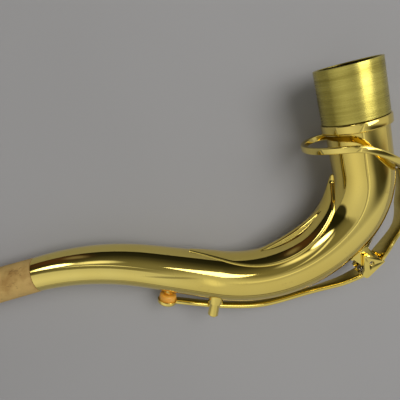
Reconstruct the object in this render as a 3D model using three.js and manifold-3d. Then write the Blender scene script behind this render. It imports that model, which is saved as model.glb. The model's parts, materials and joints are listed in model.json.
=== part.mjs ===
// Tenor saxophone neck with its octave key, lying on its side.
//
// The neck is drawn flat in its own plane first. There the origin is the
// centre of the tenon's open end, +Y points out of that end, the tube runs
// down -Y and then bends round to -X, and +Z is the side that faces up.
// A station is a distance along the tube's centre line, from the tenon's
// lower edge. A height is measured from the tube's outside, away from the
// inside of the bend. The finished neck is then tilted onto its supports.

import * as THREE from 'three';
import { mergeVertices } from 'three/addons/utils/BufferGeometryUtils.js';
import Module from 'manifold-3d';

const wasm = await Module();
wasm.setup();

const degree = Math.PI / 180;
const up = new THREE.Vector3(0, 0, 1);

// Driving dimensions, millimetres and radians.

// Gap that soldered, glued and seated pieces keep, and overrun of a cut.
const seatGap = 0.3;
const overrun = 1.5;

// Tenon, the plain sleeve that plugs into the saxophone's body.
const tenonDiameter = 27.6;
const tenonLength = 22.5;
const tenonWall = 0.8;
const tenonChamfer = 0.25;

// Ferrule, the collar that covers the joint of tenon and tube.
const ferruleWall = 1.05;
const ferruleLength = 4;
const ferruleRound = 0.5;

// Centre line: a straight run, two bends the same way, a slope, a return bend.
const straightLength = 21.5;
const tightBendRadius = 31.5;
const tightBendAngle = 48.5 * degree;
const wideBendRadius = 58.5;
const wideBendAngle = 65.2 * degree;
const slopeLength = 32;
const returnBendRadius = 116;
const returnBendAngle = 25.1 * degree;

// Tube, tapered from the ferrule to the shoulder where the cork begins.
const tubeDiameterAtFerrule = 26.1;
const tubeDiameterMidway = 22.5;
const tubeDiameterAtShoulder = 15.6;
const tubeWall = 0.75;
const shoulderWall = 1.35;
const wallPower = 4;

// Mouthpiece end: a narrower spigot under a cork sleeve.
const spigotDiameter = 14.1;
const mouthBoreDiameter = 12.5;
const corkLength = 45;
const corkDiameterAtShoulder = 15.6;
const corkDiameterAtTip = 16.3;
const corkGap = 0.15;
const corkChamfer = 0.5;
const bareTipLength = 1.5;

// Brace, a leaf-shaped sheet soldered round the inside of the bend. Its lower
// end swells into a keel, and past the keel a raised spine runs along its middle.
const braceStart = 23;
const braceEnd = 130;
const leafStart = 27;
const leafEnd = 134;
const leafHalfAngle = 50 * degree;
const leafTipHalfAngle = 5 * degree;
const leafThickness = 0.6;
const keelEnd = 50;
const keelHeight = 2.5;
const spineStart = 51;
const spineEnd = 94;
const spineHeight = 1.6;
const spineTopHalfAngle = 10 * degree;
const spineFootHalfAngle = 15 * degree;
const swellPower = 0.7;

// Octave pip, the vent that the key's pad covers.
const pipStation = 136.3;
const pipFootDiameter = 6.6;
const pipDiameter = 4.6;
const pipHeight = 1.9;
const pipFootHeight = 0.8;
const pipHoleDiameter = 1.9;

// Pad and its cup.
const padDiameter = 7.9;
const padThickness = 4.2;
const padProud = 2.8;
const padRound = 0.6;
const padGap = 0.15;
const cupWall = 0.5;
const cupDepth = 2.4;
const cupCrownShare = 0.6;

// Guide post that stands beside the key's arm.
const postStation = 114.7;
const postSide = 5.2;
const postFootDiameter = 6.7;
const postFootHeight = 1.4;
const postDiameter = 4.9;
const postHeight = 8.4;
const postRound = 0.8;

// Hinge of the octave key: a saddle with two ears, a yoke over it, a screw.
const hingeStation = 54.5;
const hingeHeight = 6.8;
const earInnerSide = 2.5;
const earThickness = 1.5;
const earWidth = 7.4;
const earEndRadius = 1.85;
const earShoulder = 1.3;
const footLength = 10;
const footThickness = 1.3;
const yokeThickness = 1.8;
const yokeBack = 3.9;
const yokeBackThickness = 1.6;
const yokeReach = 5.1;
const yokeTop = 4.5;
const yokeBottom = 6.8;
const yokeNoseShares = [0.8, 0.9];
const hingeScrewDiameter = 2;
const hingeScrewHoleGap = 0.15;
const hingeScrewRecess = 1.1;
const hingeSlotWidth = 0.5;
const hingeSlotDepth = 0.7;

// Ring: a round band, bent down along a line across its middle.
const ringDrop = 7.5;
const ringRadius = 19.8;
const ringOffset = -3.3;
const ringWidth = 2.8;
const ringThickness = 2;
const ringBendPlace = -4.3;
const ringBendSlope = 0.85;
const ringBendSoftness = 3.6;

// Strap from the ring to the yoke, and arm from the yoke to the pad cup.
const strapThickness = 1.6;
const strapHalfWidthAtRing = 2.6;
const strapHalfWidth = 4.3;
const strapHalfWidthAtYoke = 5.6;
const strapRise = 9.3;
const armThickness = 2.1;
const armHalfWidthAtYoke = 4.3;
const armHalfWidth = 2.1;
const armHeight = 3.75;

// Routes of the strap and the arm: shares of the way from the ring or the
// hinge to the next piece, and shares of the strap's rise or the arm's height.
const strapRouteShares = [[0.59, 0.54], [0.64, 0.6], [0.7, 0.83], [0.76, 1], [0.83, 1]];
const armRouteShares = [[0.07, 2.12], [0.15, 1.54], [0.27, 1], [0.5, 1], [0.68, 1], [0.83, 1.2]];
const armEndShare = 1.36;
const taperShare = 0.25;

// Flat spring that holds the pad shut, and the screw that holds the spring.
const springThickness = 0.4;
const springHalfWidth = 1.7;
const springTipStation = 43;
const springScrewHeadDiameter = 2.6;
const springScrewHeadHeight = 0.8;
const springScrewDiameter = 1.2;
const springScrewGap = 0.2;

// Facets.
const tubeSides = 36;
const turnedSides = 40;
const smallSides = 20;
const bendStep = 6 * degree;
const braceSteps = 34;
const leafFan = 6;
const flankFan = 4;
const ringSteps = 44;
const strapSteps = 16;
const armSteps = 26;
const springSteps = 14;
const restingSteps = 12;

// Centre line.

const runs = [
  { length: straightLength, turn: 0 },
  { length: tightBendRadius * tightBendAngle, turn: tightBendAngle },
  { length: wideBendRadius * wideBendAngle, turn: wideBendAngle },
  { length: slopeLength, turn: 0 },
  { length: returnBendRadius * returnBendAngle, turn: -returnBendAngle },
];
const shoulderStation = runs.reduce((sum, run) => sum + run.length, 0);
const tipStation = shoulderStation + corkLength + bareTipLength;

function directions(heading) {
  return {
    along: new THREE.Vector3(-Math.sin(heading), -Math.cos(heading), 0),
    out: new THREE.Vector3(Math.cos(heading), -Math.sin(heading), 0),
  };
}

// Place, direction and outward normal of the centre line at a station. Past
// either end the line runs on straight.
function centreAt(station) {
  const point = new THREE.Vector3(0, -tenonLength, 0);
  let heading = 0;
  let left = station;
  for (const run of runs) {
    if (left <= 0) break;
    const part = Math.min(1, left / run.length);
    const turn = run.turn * part;
    const chord = turn === 0
      ? run.length * part
      : (2 * run.length * part * Math.sin(turn / 2)) / turn;
    point.addScaledVector(directions(heading + turn / 2).along, chord);
    heading += turn;
    left -= run.length;
  }
  if (left > 0 || station < 0) point.addScaledVector(directions(heading).along, left);
  return { point, ...directions(heading) };
}

// A parabola through the three diameters of the tube.
function tubeRadius(station) {
  const share = station / shoulderStation;
  const straight = THREE.MathUtils.lerp(tubeDiameterAtFerrule, tubeDiameterAtShoulder, share);
  const middle = (tubeDiameterAtFerrule + tubeDiameterAtShoulder) / 2;
  const belly = 4 * (tubeDiameterMidway - middle) * share * (1 - share);
  return (straight + belly) / 2;
}

function boreRadius(station) {
  const share = station / shoulderStation;
  return tubeRadius(station) - THREE.MathUtils.lerp(tubeWall, shoulderWall, share ** wallPower);
}

// A point at a height over the tube, and at a side of the neck's plane.
function spot(station, height, side = 0) {
  const { point, out } = centreAt(station);
  return point.addScaledVector(out, tubeRadius(station) + height).addScaledVector(up, side);
}

// Frame at a station, with X along the tube, Y outward and Z up. Its origin
// is at a height over the tube.
function frameAt(station, height) {
  const { along, out } = centreAt(station);
  return new THREE.Matrix4()
    .makeBasis(along, out, up)
    .setPosition(spot(station, height));
}

// Stations where the tube's facets meet: the ends of each run, and steps of
// the same angle in the bends.
function stationsBetween(first, last) {
  const stations = [first, last];
  let start = 0;
  for (const run of runs) {
    const steps = Math.max(1, Math.round(Math.abs(run.turn) / bendStep));
    for (let i = 0; i <= steps; i += 1) {
      const station = start + (run.length * i) / steps;
      if (station > first && station < last) stations.push(station);
    }
    start += run.length;
  }
  return [...new Set(stations)].sort((a, b) => a - b);
}

// Solids.

function signedVolume(geometry) {
  const places = geometry.getAttribute('position');
  const index = geometry.getIndex();
  const [a, b, c] = [new THREE.Vector3(), new THREE.Vector3(), new THREE.Vector3()];
  let sum = 0;
  for (let i = 0; i < index.count; i += 3) {
    a.fromBufferAttribute(places, index.getX(i));
    b.fromBufferAttribute(places, index.getX(i + 1));
    c.fromBufferAttribute(places, index.getX(i + 2));
    sum += a.dot(b.cross(c)) / 6;
  }
  return sum;
}

function facingOut(geometry) {
  if (signedVolume(geometry) > 0) return geometry;
  const index = Array.from(geometry.getIndex().array);
  for (let i = 0; i < index.length; i += 3) [index[i], index[i + 1]] = [index[i + 1], index[i]];
  geometry.setIndex(index);
  return geometry;
}

// Skin over a row of rings with the same number of points. A row that loops
// joins its last ring to its first, and any other row is closed by flat ends.
function skin(rings, loops = false) {
  const count = rings[0].length;
  const index = [];
  const rows = loops ? rings.length : rings.length - 1;
  for (let i = 0; i < rows; i += 1) {
    const next = ((i + 1) % rings.length) * count;
    for (let j = 0; j < count; j += 1) {
      const k = (j + 1) % count;
      index.push(i * count + j, next + j, next + k, i * count + j, next + k, i * count + k);
    }
  }
  if (!loops) {
    const last = (rings.length - 1) * count;
    for (let j = 1; j < count - 1; j += 1) {
      index.push(0, j, j + 1, last, last + j + 1, last + j);
    }
  }
  const geometry = new THREE.BufferGeometry().setFromPoints(rings.flat());
  geometry.setIndex(index);
  return facingOut(geometry);
}

function circleAt(station, radius, sides = tubeSides) {
  const { point, out } = centreAt(station);
  return Array.from({ length: sides }, (_, i) => {
    const angle = (2 * Math.PI * i) / sides;
    return point.clone()
      .addScaledVector(out, radius * Math.cos(angle))
      .addScaledVector(up, radius * Math.sin(angle));
  });
}

function solidOf(geometry) {
  const bare = geometry.clone();
  bare.deleteAttribute('normal');
  bare.deleteAttribute('uv');
  const merged = mergeVertices(bare);
  const mesh = new wasm.Mesh({
    numProp: 3,
    vertProperties: new Float32Array(merged.getAttribute('position').array),
    triVerts: new Uint32Array(merged.getIndex().array),
  });
  return new wasm.Manifold(mesh);
}

function geometryOf(solid) {
  const mesh = solid.getMesh();
  const geometry = new THREE.BufferGeometry();
  geometry.setAttribute('position', new THREE.BufferAttribute(mesh.vertProperties, 3));
  geometry.setIndex(Array.from(mesh.triVerts));
  return geometry;
}

// A turned piece, from [radius, height] pairs that start and end on the axis
// or close on themselves.
function turned(profile, sides = turnedSides) {
  const points = profile.map(([radius, height]) => new THREE.Vector2(radius, height));
  const geometry = new THREE.LatheGeometry(points, sides);
  geometry.deleteAttribute('normal');
  geometry.deleteAttribute('uv');
  return facingOut(mergeVertices(geometry));
}

function drill(radius, length) {
  const half = length / 2;
  return turned([[0, -half], [radius, -half], [radius, half], [0, half]], smallSides);
}

function block(sizeX, sizeY, sizeZ) {
  return new THREE.BoxGeometry(sizeX, sizeY, sizeZ);
}

// A plate with its outline in X and Y, centred on Z.
function plate(shape, width) {
  const geometry = new THREE.ExtrudeGeometry(shape, {
    depth: width, bevelEnabled: false, curveSegments: 8,
  });
  return geometry.translate(0, 0, -width / 2);
}

// The tube's outside as a full solid, made wider by a gap or a thickness.
function tubeForm(first, last, grow) {
  return skin(stationsBetween(first, last).map(
    (station) => circleAt(station, tubeRadius(station) + grow),
  ));
}

// Cuts away what a piece has inside the tube, and leaves a gap for solder.
function seatedOnTube(solid, station, reach) {
  return solid.subtract(solidOf(tubeForm(station - reach, station + reach, seatGap)));
}

// A strip with chamfered edges along a curve in the neck's plane.
function strip(curve, steps, halfWidthAt, thickness) {
  const chamfer = thickness / 4;
  const rings = [];
  for (let i = 0; i <= steps; i += 1) {
    const share = i / steps;
    const point = curve.getPointAt(share);
    const across = curve.getTangentAt(share).cross(up).normalize();
    const half = halfWidthAt(share);
    const corners = [
      [thickness / 2 - chamfer, half], [thickness / 2, half - chamfer],
      [thickness / 2, chamfer - half], [thickness / 2 - chamfer, -half],
      [chamfer - thickness / 2, -half], [-thickness / 2, chamfer - half],
      [-thickness / 2, half - chamfer], [chamfer - thickness / 2, half],
    ];
    rings.push(corners.map(([off, side]) => point.clone()
      .addScaledVector(across, off)
      .addScaledVector(up, side)));
  }
  return skin(rings);
}

// Materials.

function metal(name, color, roughness) {
  return new THREE.MeshStandardMaterial({ name, color, roughness, metalness: 1 });
}

const lacqueredBrass = () => metal('lacquered brass', 0xc9a94a, 0.16);
const rawBrass = () => metal('raw brass', 0x9c8b43, 0.42);
const steel = () => metal('spring steel', 0xb9bcc0, 0.25);
const cork = () => new THREE.MeshStandardMaterial({ name: 'cork', color: 0xcda85f, roughness: 0.9 });
const padSkin = () => new THREE.MeshStandardMaterial({ name: 'pad', color: 0xe59a2c, roughness: 0.55 });

function piece(name, geometry, material) {
  const mesh = new THREE.Mesh(geometry, material);
  mesh.name = name;
  return mesh;
}

// Tube, tenon and cork.

function neckTube() {
  const sleeveBore = tenonDiameter / 2 - tenonWall;
  const spigotTop = sleeveBore - seatGap;
  const outside = [
    circleAt(seatGap - tenonLength, spigotTop),
    circleAt(-seatGap, spigotTop),
    ...stationsBetween(0, shoulderStation).map((station) => circleAt(station, tubeRadius(station))),
    circleAt(shoulderStation, spigotDiameter / 2),
    circleAt(tipStation, spigotDiameter / 2),
  ];
  const inside = [
    circleAt(seatGap - tenonLength, spigotTop - tubeWall),
    circleAt(-seatGap, spigotTop - tubeWall),
    ...stationsBetween(0, shoulderStation).map((station) => circleAt(station, boreRadius(station))),
    circleAt(tipStation, mouthBoreDiameter / 2),
  ];
  const shell = solidOf(skin([...outside, ...inside.reverse()], true));
  const vent = drill(pipHoleDiameter / 2, 4 * pipHeight + 4 * tubeWall)
    .applyMatrix4(frameAt(pipStation, 0));
  return piece('neck_tube', geometryOf(shell.subtract(solidOf(vent))), lacqueredBrass());
}

function tenonSleeve() {
  const outer = tenonDiameter / 2;
  const inner = outer - tenonWall;
  const bottom = seatGap - tenonLength;
  return piece('tenon_sleeve', turned([
    [inner, bottom],
    [outer, bottom],
    [outer, -tenonChamfer],
    [outer - tenonChamfer, 0],
    [inner, 0],
    [inner, bottom],
  ]), rawBrass());
}

function tenonFerrule() {
  const inner = tubeDiameterAtFerrule / 2 + seatGap;
  const outer = inner + ferruleWall;
  const top = -tenonLength;
  const bottom = top - ferruleLength;
  return piece('tenon_ferrule', turned([
    [inner, bottom],
    [outer - ferruleRound, bottom],
    [outer, bottom + ferruleRound],
    [outer, top - ferruleRound],
    [outer - ferruleRound, top],
    [inner, top],
    [inner, bottom],
  ]), lacqueredBrass());
}

function mouthpieceCork() {
  const inner = spigotDiameter / 2 + corkGap;
  const first = corkDiameterAtShoulder / 2;
  const last = corkDiameterAtTip / 2;
  const geometry = turned([
    [inner, seatGap],
    [first, seatGap],
    [last, corkLength - corkChamfer],
    [last - corkChamfer, corkLength],
    [inner, corkLength],
    [inner, seatGap],
  ]);
  const { point, along, out } = centreAt(shoulderStation);
  const mesh = piece('mouthpiece_cork', geometry, cork());
  const frame = new THREE.Matrix4().makeBasis(out, along, up.clone().negate()).setPosition(point);
  mesh.applyMatrix4(frame);
  return mesh;
}

// A form that swells from nothing to one and back between two stations.
function swell(station, first, last) {
  const share = THREE.MathUtils.clamp((station - first) / (last - first), 0, 1);
  return Math.max(0, Math.sin(Math.PI * share));
}

function leafHalf(station) {
  return Math.max(leafTipHalfAngle, leafHalfAngle * swell(station, leafStart, leafEnd));
}

// The keel falls from the leaf's middle to its edges.
function keelLift(station, angle) {
  const across = Math.cos((Math.PI * angle) / (2 * leafHalf(station)));
  return keelHeight * swell(station, braceStart, keelEnd) ** swellPower * across;
}

function spineLift(station) {
  return spineHeight * swell(station, spineStart, spineEnd) ** swellPower;
}

// The brace hugs the tube on its underside.
function neckBrace() {
  const rings = [];
  for (let i = 0; i <= braceSteps; i += 1) {
    const station = THREE.MathUtils.lerp(braceStart, braceEnd, i / braceSteps);
    const half = leafHalf(station);
    const foot = Math.min(spineFootHalfAngle, half / 2);
    const top = Math.min(spineTopHalfAngle, half / 3);
    const { point, out } = centreAt(station);
    const under = tubeRadius(station) + seatGap;
    const at = (angle, lift) => point.clone()
      .addScaledVector(out, -(under + lift) * Math.cos(angle))
      .addScaledVector(up, (under + lift) * Math.sin(angle));
    const over = (angle, lift) => at(angle, leafThickness + keelLift(station, angle) + lift);
    const flank = (j) => THREE.MathUtils.lerp(foot, half, j / flankFan);
    const ring = [];
    for (let j = -leafFan; j <= leafFan; j += 1) ring.push(at((half * j) / leafFan, 0));
    for (let j = flankFan; j >= 0; j -= 1) ring.push(over(flank(j), 0));
    ring.push(over(top, spineLift(station)));
    ring.push(over(-top, spineLift(station)));
    for (let j = 0; j <= flankFan; j += 1) ring.push(over(-flank(j), 0));
    rings.push(ring);
  }
  return piece('neck_brace', skin(rings), lacqueredBrass());
}

function octavePip() {
  const below = 2 * pipFootHeight + seatGap;
  const body = turned([
    [0, -below],
    [pipFootDiameter / 2, -below],
    [pipFootDiameter / 2, 0],
    [pipDiameter / 2, pipFootHeight],
    [pipDiameter / 2, pipHeight],
    [0, pipHeight],
  ]).applyMatrix4(frameAt(pipStation, 0));
  const hole = drill(pipHoleDiameter / 2, 4 * pipHeight).applyMatrix4(frameAt(pipStation, 0));
  const solid = seatedOnTube(solidOf(body), pipStation, pipFootDiameter).subtract(solidOf(hole));
  return piece('octave_pip', geometryOf(solid), lacqueredBrass());
}

function guidePost() {
  const base = Math.sqrt(tubeRadius(postStation) ** 2 - postSide ** 2) - tubeRadius(postStation);
  const below = base - postFootDiameter / 2;
  const body = turned([
    [0, below],
    [postFootDiameter / 2, below],
    [postFootDiameter / 2, base + postFootHeight],
    [postDiameter / 2, base + postFootHeight],
    [postDiameter / 2, base + postHeight - postRound],
    [postDiameter / 2 - postRound, base + postHeight],
    [0, base + postHeight],
  ], smallSides).translate(0, 0, postSide).applyMatrix4(frameAt(postStation, 0));
  const solid = seatedOnTube(solidOf(body), postStation, postFootDiameter);
  return piece('guide_post', geometryOf(solid), lacqueredBrass());
}

// Hinge.

const hingeFrame = frameAt(hingeStation, hingeHeight);
const earOuterSide = earInnerSide + earThickness;
const yokeInnerSide = earOuterSide + seatGap;
const yokeOuterSide = yokeInnerSide + yokeThickness;
const cupRadius = padDiameter / 2 + padGap + cupWall;

function earShape() {
  const half = earWidth / 2;
  const bottom = -hingeHeight - overrun;
  const shape = new THREE.Shape();
  shape.moveTo(half + earShoulder / 2, bottom);
  shape.lineTo(half, -earShoulder);
  shape.absarc(0, 0, earEndRadius, 0, Math.PI, false);
  shape.lineTo(-half, -earShoulder);
  shape.lineTo(-half - earShoulder / 2, bottom);
  return shape;
}

function hingeSaddle() {
  const ear = (side) => solidOf(plate(earShape(), earThickness)
    .translate(0, 0, side * (earInnerSide + earThickness / 2))
    .applyMatrix4(hingeFrame));
  const shell = tubeForm(hingeStation - footLength, hingeStation + footLength, footThickness);
  const foot = solidOf(shell).intersect(solidOf(
    block(footLength, 2 * hingeHeight, 2 * earOuterSide)
      .translate(0, -hingeHeight, 0)
      .applyMatrix4(hingeFrame),
  ));
  const hole = drill(hingeScrewDiameter / 2 + hingeScrewHoleGap, 2 * yokeOuterSide + overrun)
    .rotateX(Math.PI / 2)
    .applyMatrix4(hingeFrame);
  const solid = seatedOnTube(foot.add(ear(1)).add(ear(-1)), hingeStation, 2 * footLength)
    .subtract(solidOf(hole));
  return piece('hinge_saddle', geometryOf(solid), lacqueredBrass());
}

function hingeScrew() {
  const length = 2 * (yokeOuterSide - hingeScrewRecess);
  const rod = solidOf(drill(hingeScrewDiameter / 2, length));
  const slot = solidOf(block(2 * hingeScrewDiameter, 2 * hingeSlotDepth, hingeSlotWidth)
    .translate(0, length / 2, 0));
  const geometry = geometryOf(rod.subtract(slot)).rotateX(Math.PI / 2).applyMatrix4(hingeFrame);
  return piece('hinge_screw', geometry, steel());
}

// Octave key.

function yokeShape() {
  const shape = new THREE.Shape();
  const [noseShare, heelShare] = yokeNoseShares;
  shape.moveTo(-yokeReach / 3, -noseShare * yokeReach);
  shape.lineTo(0, -yokeReach);
  shape.lineTo(heelShare * yokeReach, 0);
  shape.lineTo(yokeBottom, yokeBack / 4);
  shape.lineTo(yokeBottom, yokeBack - yokeThickness / 2);
  shape.lineTo(yokeBottom - yokeThickness / 2, yokeBack);
  shape.lineTo(-yokeTop, yokeBack);
  return shape;
}

function hingeYoke() {
  const inner = yokeBack - yokeBackThickness;
  const body = solidOf(plate(yokeShape(), 2 * yokeOuterSide));
  const reach = yokeBottom + yokeTop;
  const slot = solidOf(block(2 * reach, 2 * reach, 2 * yokeInnerSide)
    .translate(0, inner - reach, 0));
  const hole = solidOf(
    drill(hingeScrewDiameter / 2 + hingeScrewHoleGap, 2 * yokeOuterSide + overrun)
      .rotateX(Math.PI / 2),
  );
  const thread = solidOf(
    drill(springScrewDiameter / 2 + springScrewGap, 2 * yokeBackThickness)
      .translate(springScrewPlace, inner, 0),
  );
  const solid = body.subtract(slot).subtract(hole).subtract(thread);
  return piece('hinge_yoke', geometryOf(solid).applyMatrix4(hingeFrame), lacqueredBrass());
}

const springScrewPlace = yokeBottom - springScrewHeadDiameter / 2 - springScrewGap;
const springRootHeight = hingeHeight + yokeBack - yokeBackThickness - seatGap - springThickness / 2;

function flatSpring() {
  const local = (x, y) => new THREE.Vector3(x, y, 0).applyMatrix4(hingeFrame);
  const rootY = springRootHeight - hingeHeight;
  const curve = new THREE.CatmullRomCurve3([
    local(yokeBottom - seatGap, rootY),
    local(springScrewPlace - springScrewHeadDiameter / 2, rootY),
    local(0, -hingeScrewDiameter),
    spot(springTipStation, springThickness / 2 + seatGap),
  ]);
  const solid = solidOf(strip(curve, springSteps, () => springHalfWidth, springThickness));
  const hole = drill(springScrewDiameter / 2 + springScrewGap, overrun)
    .translate(springScrewPlace, rootY, 0)
    .applyMatrix4(hingeFrame);
  return piece('flat_spring', geometryOf(solid.subtract(solidOf(hole))), steel());
}

function springScrew() {
  const face = springRootHeight - hingeHeight - springThickness / 2 - springScrewGap;
  const head = springScrewHeadDiameter / 2;
  const shank = springScrewDiameter / 2;
  const end = yokeBack - yokeBackThickness / 2;
  const geometry = turned([
    [0, face - springScrewHeadHeight],
    [head, face - springScrewHeadHeight],
    [head, face],
    [shank, face],
    [shank, end],
    [0, end],
  ], smallSides).translate(springScrewPlace, 0, 0).applyMatrix4(hingeFrame);
  return piece('spring_screw', geometry, steel());
}

// Fall of the ring's outer half, which is bent down along a line.
function ringFall(x) {
  const bend = (x - ringBendPlace) / ringBendSoftness;
  return ringBendSlope * ringBendSoftness * Math.log1p(Math.exp(bend));
}

function ringSlope(x) {
  return ringBendSlope / (1 + Math.exp((ringBendPlace - x) / ringBendSoftness));
}

function keyRing() {
  const top = -tenonLength - ringDrop;
  const rings = [];
  for (let i = 0; i < ringSteps; i += 1) {
    const angle = (2 * Math.PI * i) / ringSteps;
    const x = ringOffset - ringRadius * Math.cos(angle);
    const slope = ringSlope(x);
    const point = new THREE.Vector3(x, top - ringFall(x), ringRadius * Math.sin(angle));
    const wide = new THREE.Vector3(slope, 1, 0).normalize();
    const tangent = new THREE.Vector3(1, -slope, 0).multiplyScalar(Math.sin(angle))
      .addScaledVector(up, Math.cos(angle)).normalize();
    const thin = tangent.clone().cross(wide).normalize();
    const chamfer = ringThickness / 4;
    const [w, t] = [ringWidth / 2, ringThickness / 2];
    const corners = [
      [t - chamfer, w], [t, w - chamfer], [t, chamfer - w], [t - chamfer, -w],
      [chamfer - t, -w], [-t, chamfer - w], [-t, w - chamfer], [chamfer - t, w],
    ];
    rings.push(corners.map(([off, side]) => point.clone()
      .addScaledVector(thin, off)
      .addScaledVector(wide, side)));
  }
  return piece('key_ring', skin(rings, true), lacqueredBrass());
}

// Half-width along a strip that changes near each end and is even between.
function halfWidths(first, middle, last) {
  return (share) => (share < taperShare
    ? THREE.MathUtils.lerp(first, middle, share / taperShare)
    : THREE.MathUtils.lerp(middle, last, Math.max(0, 1 - (1 - share) / taperShare)));
}

function keyStrap() {
  const x = ringOffset + ringRadius;
  const junction = new THREE.Vector3(x, -tenonLength - ringDrop - ringFall(x), 0);
  const wide = new THREE.Vector3(ringSlope(x), 1, 0).normalize();
  const start = junction.addScaledVector(wide, -ringWidth / 2);
  start.y -= seatGap + strapThickness / 2;
  const end = new THREE.Vector3(-yokeTop - seatGap, yokeBack - strapThickness / 2, 0)
    .applyMatrix4(hingeFrame);
  const route = strapRouteShares.map(([way, rise]) => spot(way * hingeStation, rise * strapRise));
  const curve = new THREE.CatmullRomCurve3([start, ...route, end]);
  const width = halfWidths(strapHalfWidthAtRing, strapHalfWidth, strapHalfWidthAtYoke);
  return piece('key_strap', strip(curve, strapSteps, width, strapThickness), lacqueredBrass());
}

function keyArm() {
  const start = new THREE.Vector3(yokeBottom + seatGap, yokeBack - armThickness / 2, 0)
    .applyMatrix4(hingeFrame);
  const first = hingeStation + yokeBottom;
  const last = pipStation - cupRadius - seatGap;
  const route = armRouteShares.map(([way, rise]) => (
    spot(THREE.MathUtils.lerp(first, last, way), rise * armHeight)
  ));
  const end = spot(last, armEndShare * armHeight);
  const curve = new THREE.CatmullRomCurve3([start, ...route, end]);
  const width = halfWidths(armHalfWidthAtYoke, armHalfWidth, armHalfWidth);
  return piece('key_arm', strip(curve, armSteps, width, armThickness), lacqueredBrass());
}

function padCup() {
  const rim = pipHeight + seatGap + padProud;
  const inner = cupRadius - cupWall;
  const top = rim + cupDepth;
  const geometry = turned([
    [0, top - cupWall],
    [inner, top - cupWall],
    [inner, rim],
    [cupRadius, rim],
    [cupRadius, top - 2 * cupWall],
    [cupRadius - cupWall, top - cupWall / 2],
    [cupCrownShare * cupRadius, top],
    [0, top],
  ]).applyMatrix4(frameAt(pipStation, 0));
  return piece('pad_cup', geometry, lacqueredBrass());
}

function octavePad() {
  const radius = padDiameter / 2;
  const bottom = pipHeight + seatGap;
  const top = bottom + padThickness;
  const geometry = turned([
    [0, bottom],
    [radius - padRound, bottom],
    [radius, bottom + padRound],
    [radius, top],
    [0, top],
  ]).applyMatrix4(frameAt(pipStation, 0));
  return piece('octave_pad', geometry, padSkin());
}

// Assembly.

const neck = new THREE.Group();
neck.add(
  neckTube(), tenonSleeve(), tenonFerrule(), mouthpieceCork(), neckBrace(),
  octavePip(), guidePost(), hingeSaddle(), hingeScrew(),
);

const octaveKey = new THREE.Group();
octaveKey.add(
  keyRing(), keyStrap(), hingeYoke(), keyArm(), padCup(), octavePad(), flatSpring(), springScrew(),
);
neck.add(octaveKey);

function cornersOf(name) {
  const mesh = neck.getObjectByName(name);
  const places = mesh.geometry.getAttribute('position');
  return Array.from({ length: places.count }, (_, i) => (
    new THREE.Vector3().fromBufferAttribute(places, i).applyMatrix4(mesh.matrixWorld)
  ));
}

function lowest(corners, direction) {
  return corners.reduce((best, corner) => (
    corner.dot(direction) < best.dot(direction) ? corner : best
  ));
}

// The neck rests on its ring, on the side of its bend and on its cork. The
// upward normal of the surface under it is found from those three.
function restingNormal() {
  const bendStart = -tenonLength - straightLength;
  const supports = [
    cornersOf('key_ring'),
    cornersOf('neck_tube').filter((corner) => corner.y < bendStart),
    cornersOf('mouthpiece_cork'),
  ];
  const normal = up.clone();
  for (let i = 0; i < restingSteps; i += 1) {
    const [a, b, c] = supports.map((corners) => lowest(corners, normal));
    normal.subVectors(b, a).cross(new THREE.Vector3().subVectors(c, a)).normalize();
    if (normal.z < 0) normal.negate();
  }
  return normal;
}

neck.updateMatrixWorld(true);
neck.quaternion.setFromUnitVectors(restingNormal(), up);
neck.updateMatrixWorld(true);
const box = new THREE.Box3().setFromObject(neck, true);
const middle = box.getCenter(new THREE.Vector3());
neck.position.set(-middle.x, -middle.y, -box.min.z);

const part = new THREE.Group();
part.add(neck);

export default part;
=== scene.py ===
"""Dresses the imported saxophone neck: smooth metal, cork, pad and spring, on a pale studio floor.

Every piece is modelled flat in the neck's own plane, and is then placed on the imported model.
In that plane the origin is the centre of the tenon's open end, +Y points out of that end,
the tube runs down -Y and bends to -X, and +Z is the side that faces up. A station is a
distance along the tube's centre line from the tenon's lower edge.
"""

import json
import math

import bpy
from mathutils import Matrix, Quaternion, Vector


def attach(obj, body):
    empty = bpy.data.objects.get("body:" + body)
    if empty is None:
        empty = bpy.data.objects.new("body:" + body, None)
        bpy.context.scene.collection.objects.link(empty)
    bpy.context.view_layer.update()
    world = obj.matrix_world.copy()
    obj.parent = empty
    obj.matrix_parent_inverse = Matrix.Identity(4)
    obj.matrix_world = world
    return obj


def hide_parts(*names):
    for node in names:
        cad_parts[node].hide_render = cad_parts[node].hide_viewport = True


bl_info = {
    "name": "Saxophone Neck",
    "version": (1, 0, 0),
    "blender": (4, 5, 0),
    "location": "View3D > Sidebar > Neck",
    "description": "Models and finishes a saxophone neck with its octave key",
    "category": "Object",
}

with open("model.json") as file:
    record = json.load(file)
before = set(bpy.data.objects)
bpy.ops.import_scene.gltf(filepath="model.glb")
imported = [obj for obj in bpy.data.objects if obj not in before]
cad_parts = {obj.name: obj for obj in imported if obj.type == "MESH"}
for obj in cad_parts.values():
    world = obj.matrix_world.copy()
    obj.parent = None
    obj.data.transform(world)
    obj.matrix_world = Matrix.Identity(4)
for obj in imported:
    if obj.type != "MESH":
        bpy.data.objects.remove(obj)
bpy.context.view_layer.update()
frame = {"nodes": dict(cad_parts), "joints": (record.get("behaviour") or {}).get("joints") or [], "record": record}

MM = 0.001
CENTRE = (0.0, 0.0, 0.0)
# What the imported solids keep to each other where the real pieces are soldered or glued.
GAP = 0.3 * MM


# The neck's own plane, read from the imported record.

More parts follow.
